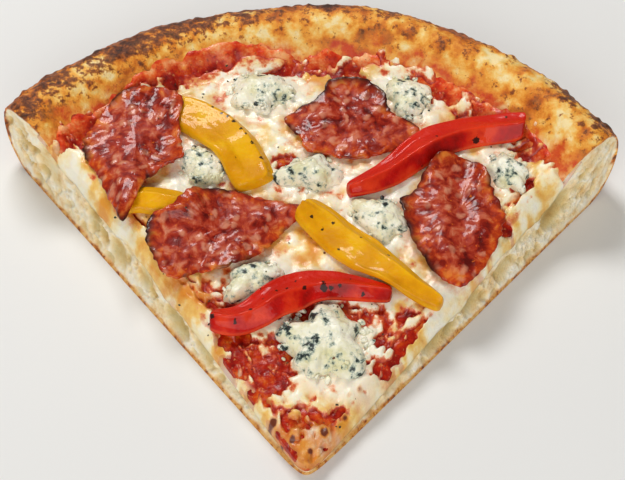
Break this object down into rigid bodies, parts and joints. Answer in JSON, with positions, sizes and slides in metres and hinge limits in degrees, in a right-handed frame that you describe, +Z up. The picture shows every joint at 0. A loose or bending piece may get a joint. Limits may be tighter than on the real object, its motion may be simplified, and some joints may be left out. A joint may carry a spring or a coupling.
{
  "type": "pepperoni pizza slice",
  "caption": "Thick wedge-shaped pizza slice with a raised, browned rim, tomato sauce, melted cheese, pepperoni, pepper strips and lumps of blue cheese, lying flat.",
  "frame": {"origin": "middle of the slice's bounding box, on the surface that it lies on", "axes": "+Y runs from the pointed tip towards the rim, +X to the right of that, +Z up"},
  "size_m": [0.1852, 0.1576, 0.0324],
  "materials": {
    "dough": "baked bread crust, matte, browned and spotted on the rim, pale open crumb at the cuts",
    "tomato_sauce": "wet, chunky tomato sauce",
    "mozzarella": "melted, oily cheese, ivory with golden spots",
    "pepperoni": "oily cured sausage, marbled with fat, with a dark crisped edge",
    "red_pepper": "glossy roasted pepper skin with a few charred specks",
    "yellow_pepper": "glossy roasted pepper skin with a few charred specks",
    "blue_cheese": "moist, crumbly blue cheese with blue-green mould specks"
  },
  "bodies": {
    "root": {"dough": "dough", "tomato_sauce": "tomato_sauce", "mozzarella": "mozzarella", "pepperoni_left": "pepperoni", "pepperoni_front_left": "pepperoni", "pepperoni_back": "pepperoni", "pepperoni_right": "pepperoni", "red_pepper_back": "red_pepper", "red_pepper_front": "red_pepper", "yellow_pepper_left": "yellow_pepper", "yellow_pepper_short": "yellow_pepper", "yellow_pepper_long": "yellow_pepper", "blue_cheese_back_left": "blue_cheese", "blue_cheese_back_right": "blue_cheese", "blue_cheese_left": "blue_cheese", "blue_cheese_centre": "blue_cheese", "blue_cheese_middle": "blue_cheese", "blue_cheese_right": "blue_cheese", "blue_cheese_front_left": "blue_cheese", "blue_cheese_front": "blue_cheese"}
  },
  "joints": []
}
